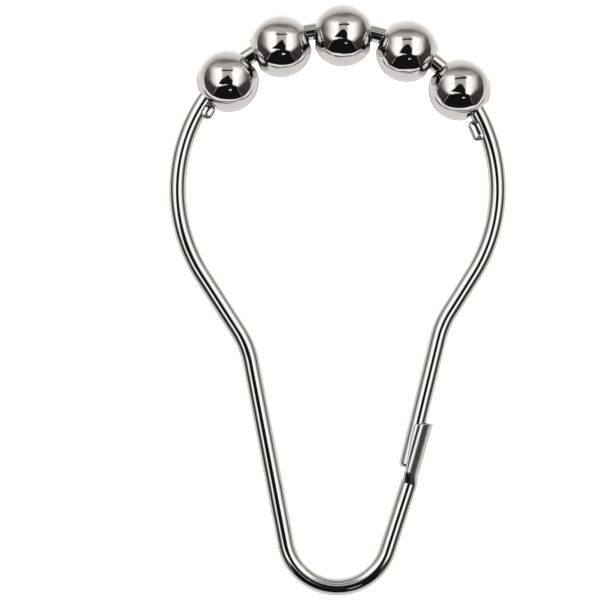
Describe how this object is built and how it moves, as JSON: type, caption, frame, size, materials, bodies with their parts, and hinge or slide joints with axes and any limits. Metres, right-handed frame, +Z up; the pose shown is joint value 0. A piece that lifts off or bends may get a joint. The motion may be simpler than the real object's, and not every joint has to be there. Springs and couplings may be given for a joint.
{
  "type": "shower curtain hook",
  "caption": "Pear-shaped hook of bent wire with roller balls over the rod and a sprung latch in one side, for hanging a shower curtain from its rod.",
  "frame": {"origin": "centre of the round loop that goes over the curtain rod, in the wire's middle plane", "axes": "+Z up as the hook hangs, +Y along the curtain rod and square to the wire's plane, +X towards the limb with the latch"},
  "size_m": [0.0392, 0.0072, 0.0689],
  "materials": {
    "wire": "spring steel wire, nickel and chrome plated, mirror polished",
    "balls": "thin sheet steel, nickel and chrome plated, mirror polished"
  },
  "bodies": {
    "hook_wire": {"hook_wire": "wire"},
    "roller_ball_1": {"roller_ball_1": "balls"},
    "roller_ball_2": {"roller_ball_2": "balls"},
    "roller_ball_3": {"roller_ball_3": "balls"},
    "roller_ball_4": {"roller_ball_4": "balls"},
    "roller_ball_5": {"roller_ball_5": "balls"}
  },
  "joints": [
    {"name": "ball_1_spin", "type": "hinge", "parent": "hook_wire", "child": "roller_ball_1", "pos_m": [-0.01277, 0, 0.01266], "axis": [-0.7041, 0, -0.7101], "continuous": true},
    {"name": "ball_2_spin", "type": "hinge", "parent": "hook_wire", "child": "roller_ball_2", "pos_m": [-0.0066, 0, 0.01673], "axis": [-0.9303, 0, -0.3669], "continuous": true},
    {"name": "ball_3_spin", "type": "hinge", "parent": "hook_wire", "child": "roller_ball_3", "pos_m": [0.00065, 0, 0.01799], "axis": [-0.9994, 0, 0.036], "continuous": true},
    {"name": "ball_4_spin", "type": "hinge", "parent": "hook_wire", "child": "roller_ball_4", "pos_m": [0.00809, 0, 0.01617], "axis": [-0.8944, 0, 0.4472], "continuous": true},
    {"name": "ball_5_spin", "type": "hinge", "parent": "hook_wire", "child": "roller_ball_5", "pos_m": [0.01423, 0, 0.01167], "axis": [-0.6342, 0, 0.7732], "continuous": true}
  ]
}
